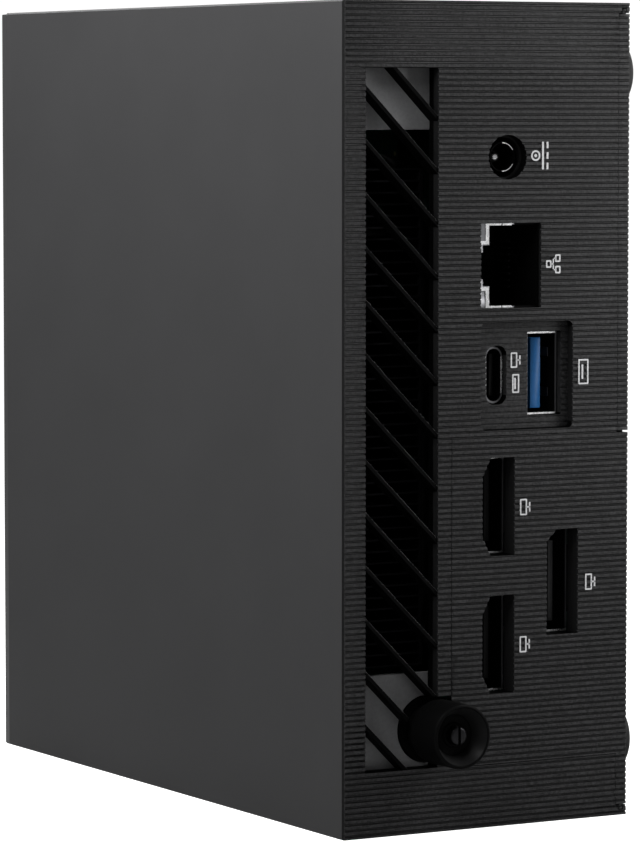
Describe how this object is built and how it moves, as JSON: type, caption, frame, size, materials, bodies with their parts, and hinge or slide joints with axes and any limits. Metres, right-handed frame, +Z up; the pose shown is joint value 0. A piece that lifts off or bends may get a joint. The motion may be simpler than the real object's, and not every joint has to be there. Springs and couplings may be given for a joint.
{
  "type": "mini pc",
  "caption": "Small square desktop computer case standing on its side, with a ribbed rear port panel, slanted vent blades, a thumbscrew, a sliding bottom cover and rubber feet.",
  "frame": {"origin": "centre of the narrow side face that the case stands on", "axes": "+Z up; +X out of the smooth top cover, so the feet point to -X; +Y out of the rear face with the ports"},
  "size_m": [0.058, 0.1289, 0.13],
  "materials": {
    "case_plastic": "fine moulded grain on the sides, ribbed on the rear",
    "front_plastic": "fine moulded grain",
    "cover_plastic": "fine moulded grain, ribbed on the rear tongue",
    "insert_plastic": "ribbed",
    "grille_plastic": "satin",
    "blank_plastic": "smooth",
    "foot_rubber": "matt",
    "knob_plastic": "satin",
    "button_plastic": "satin with a spun face",
    "light_guide": "clear",
    "screw_steel": "machined",
    "bracket_steel": "zinc plated sheet",
    "socket_plastic": "moulded",
    "contact_metal": "nickel plated",
    "shield_metal": "tin plated, stamped",
    "dark_shield": "dark nickel, stamped",
    "blue_plastic": "moulded",
    "circuit_board": "solder mask",
    "chip": "moulded package",
    "thermal_paste": "paste",
    "copper": "bare copper",
    "fin_aluminium": "thin stamped sheet",
    "fan_plastic": "moulded",
    "antenna_foil": "foil",
    "ferrite": "pressed ferrite",
    "capacitor_can": "drawn can",
    "drive_case": "satin",
    "cable_plastic": "flat cable"
  },
  "bodies": {
    "case": {"top_shell": "case_plastic", "front_panel": "front_plastic", "usb_port_plate": "insert_plastic", "vent_grille": "grille_plastic", "vent_blanks": "blank_plastic", "screw_bracket": "bracket_steel", "power_switch": "socket_plastic", "light_pipe": "light_guide", "dc_jack_body": "socket_plastic", "dc_jack_pin": "contact_metal", "rj45_shield": "shield_metal", "rj45_insert": "socket_plastic", "rear_usb_c_shell": "shield_metal", "rear_usb_c_tongue": "socket_plastic", "rear_usb_a_shell": "shield_metal", "rear_usb_a_tongue": "blue_plastic", "hdmi_shells": "dark_shield", "hdmi_tongues": "socket_plastic", "displayport_shell": "dark_shield", "displayport_tongue": "socket_plastic", "display_board": "circuit_board", "front_usb_a_shells": "shield_metal", "front_usb_a_tongues": "blue_plastic", "front_usb_c_shell": "shield_metal", "front_usb_c_tongue": "socket_plastic", "audio_jack": "socket_plastic", "motherboard": "circuit_board", "board_screws": "screw_steel", "cpu_package": "chip", "thermal_pad": "thermal_paste", "cold_plate": "copper", "heat_pipes": "copper", "fin_stack": "fin_aluminium", "fan_housing": "fan_plastic", "fan_cover": "fan_plastic", "fan_stator": "copper", "memory_sockets": "socket_plastic", "memory_modules": "circuit_board", "ssd_socket": "socket_plastic", "ssd_card": "circuit_board", "ssd_screw": "screw_steel", "wifi_module": "shield_metal", "antennas": "antenna_foil", "coin_cell": "shield_metal", "power_inductors": "ferrite", "capacitors": "capacitor_can", "drive_bracket": "bracket_steel", "storage_drive": "drive_case", "drive_cable": "cable_plastic"},
    "cover": {"bottom_cover": "cover_plastic", "rubber_feet": "foot_rubber"},
    "screw_carrier": {"thumbscrew_washer": "screw_steel"},
    "thumbscrew": {"thumbscrew_knob": "knob_plastic", "thumbscrew_shank": "screw_steel"},
    "button": {"power_button": "button_plastic"},
    "fan_rotor": {"fan_impeller": "fan_plastic", "fan_shaft": "screw_steel"}
  },
  "joints": [
    {"name": "cover_slide", "type": "slide", "parent": "case", "child": "cover", "axis": [0, 1, 0], "range_m": [0, 0.13]},
    {"name": "screw_lift", "type": "slide", "parent": "cover", "child": "screw_carrier", "axis": [0, 1, 0], "range_m": [0, 0.004]},
    {"name": "screw_turn", "type": "hinge", "parent": "screw_carrier", "child": "thumbscrew", "pos_m": [0.0093, 0.06, 0.016], "axis": [0, 1, 0], "range_deg": [0, 2881]},
    {"name": "power_button", "type": "slide", "parent": "case", "child": "button", "axis": [0, 1, 0], "range_m": [0, 0.0006], "stiffness_N_per_m": 800},
    {"name": "fan_spin", "type": "hinge", "parent": "case", "child": "fan_rotor", "pos_m": [0.0147, 0.012, 0.065], "axis": [1, 0, 0], "continuous": true}
  ],
  "couplings": [
    {"joint": "screw_turn", "follows": "screw_lift", "rad_per_m": 12566}
  ]
}
